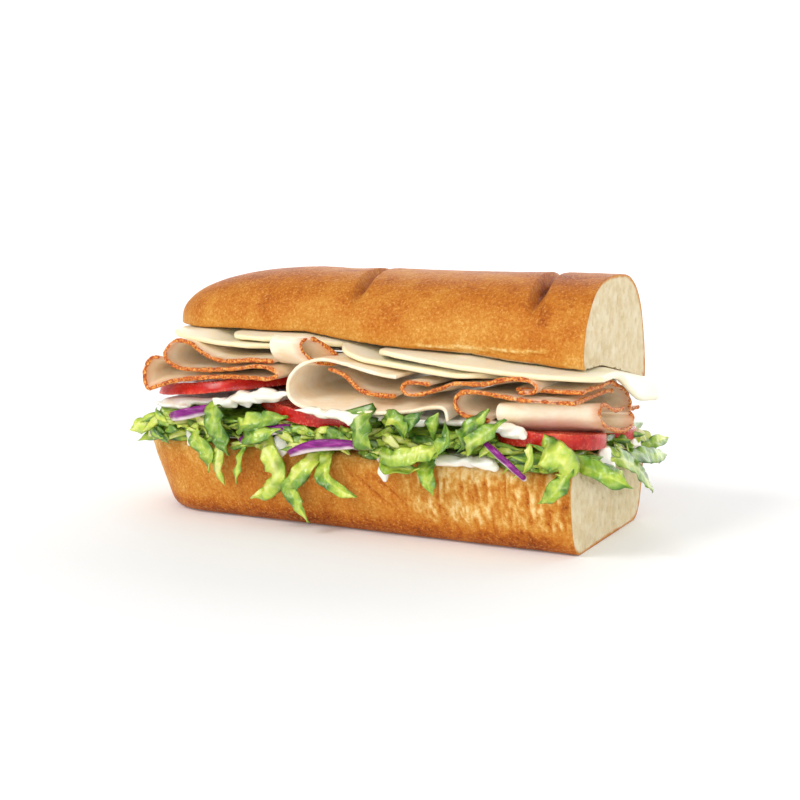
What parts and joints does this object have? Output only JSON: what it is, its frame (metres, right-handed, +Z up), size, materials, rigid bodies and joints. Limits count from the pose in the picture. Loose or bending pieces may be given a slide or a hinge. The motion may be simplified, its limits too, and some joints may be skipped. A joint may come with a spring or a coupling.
{
  "type": "submarine sandwich",
  "caption": "Half of a long split roll cut square at one end, filled with cheese, folded sliced turkey, tomato, onion, mayonnaise and shredded lettuce.",
  "frame": {"origin": "centre of the lower half's flat base, at mid-length of the 152 mm loaf", "axes": "+X along the loaf towards its cut end, +Z up, -Y the side where the filling shows most"},
  "size_m": [0.1715, 0.0834, 0.0745],
  "materials": {
    "crust": "baked crust, satin, with a pale cream crumb on the cut faces",
    "cheese": "smooth, slightly waxy",
    "turkey": "smooth sliced meat with a grainy orange-red rim",
    "tomato": "wet, glossy",
    "onion": "glossy skin over pale flesh",
    "mayonnaise": "wet, glossy",
    "lettuce": "leafy, satin, slightly translucent"
  },
  "bodies": {
    "root": {"bread_bottom": "crust", "bread_top": "crust", "cheese_1": "cheese", "cheese_2": "cheese", "cheese_3": "cheese", "cheese_4": "cheese", "turkey_fold_1": "turkey", "turkey_fold_2": "turkey", "turkey_fold_3": "turkey", "turkey_fold_4": "turkey", "turkey_fold_5": "turkey", "turkey_roll_1": "turkey", "turkey_roll_2": "turkey", "turkey_roll_3": "turkey", "turkey_roll_4": "turkey", "tomato_1": "tomato", "tomato_2": "tomato", "tomato_3": "tomato", "tomato_4": "tomato", "onion_1": "onion", "onion_2": "onion", "onion_3": "onion", "onion_4": "onion", "mayonnaise_1": "mayonnaise", "mayonnaise_2": "mayonnaise", "mayonnaise_3": "mayonnaise", "mayonnaise_4": "mayonnaise", "lettuce": "lettuce"}
  },
  "joints": []
}
